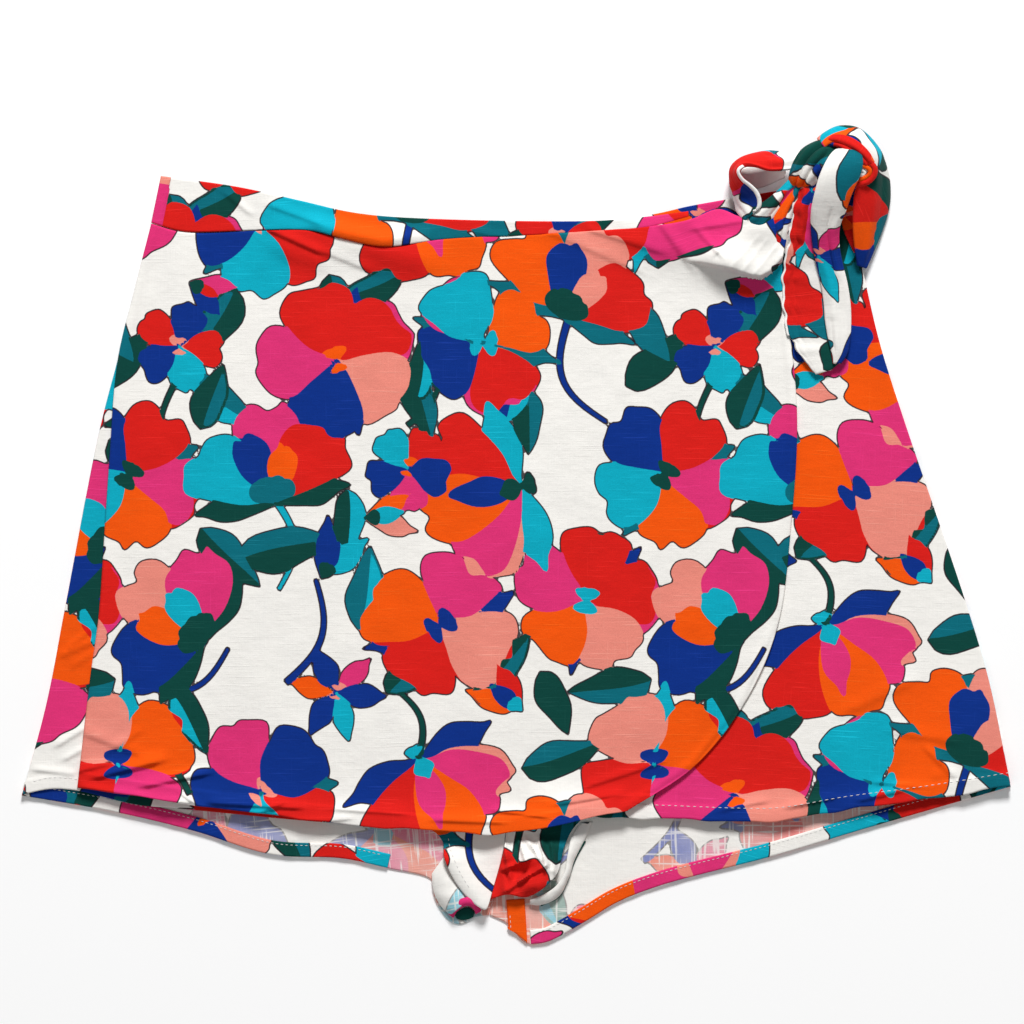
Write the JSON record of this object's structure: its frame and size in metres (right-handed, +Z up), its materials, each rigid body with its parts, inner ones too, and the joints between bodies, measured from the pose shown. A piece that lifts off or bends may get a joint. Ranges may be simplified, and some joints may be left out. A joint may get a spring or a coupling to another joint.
{
  "type": "wrap skort",
  "caption": "Floral wrap skort laid flat: shorts under an overlapping curved wrap front, with a half-bow tie knotted at one hip.",
  "frame": {"origin": "centre of the bounding box in plan, on the surface that the garment lies on", "axes": "+X across the waist towards the tied hip, +Y from the hems up to the waist, +Z up off the surface"},
  "size_m": [0.5536, 0.4563, 0.0341],
  "materials": {
    "print": "matt slub linen-cotton, off-white with a bold floral print",
    "print_inside": "matt wrong side of the same cloth, with the print showing through faded"
  },
  "bodies": {
    "root": {"shorts_back_left": "print_inside", "shorts_back_right": "print_inside", "waistband_back": "print", "hem_back_left": "print", "hem_back_right": "print", "hem_inseam_right": "print", "hem_front_right": "print", "inseam_roll_left": "print_inside", "shorts_front_left": "print", "shorts_front_right": "print", "under_panel": "print", "wrap_panel": "print", "waistband_front": "print", "tie_gather": "print", "tie_knot": "print", "tie_loop_left": "print", "tie_loop_left_floor": "print", "tie_loop_right": "print", "tie_loop_right_floor": "print", "tie_tail": "print", "tie_tail_under": "print"}
  },
  "joints": []
}
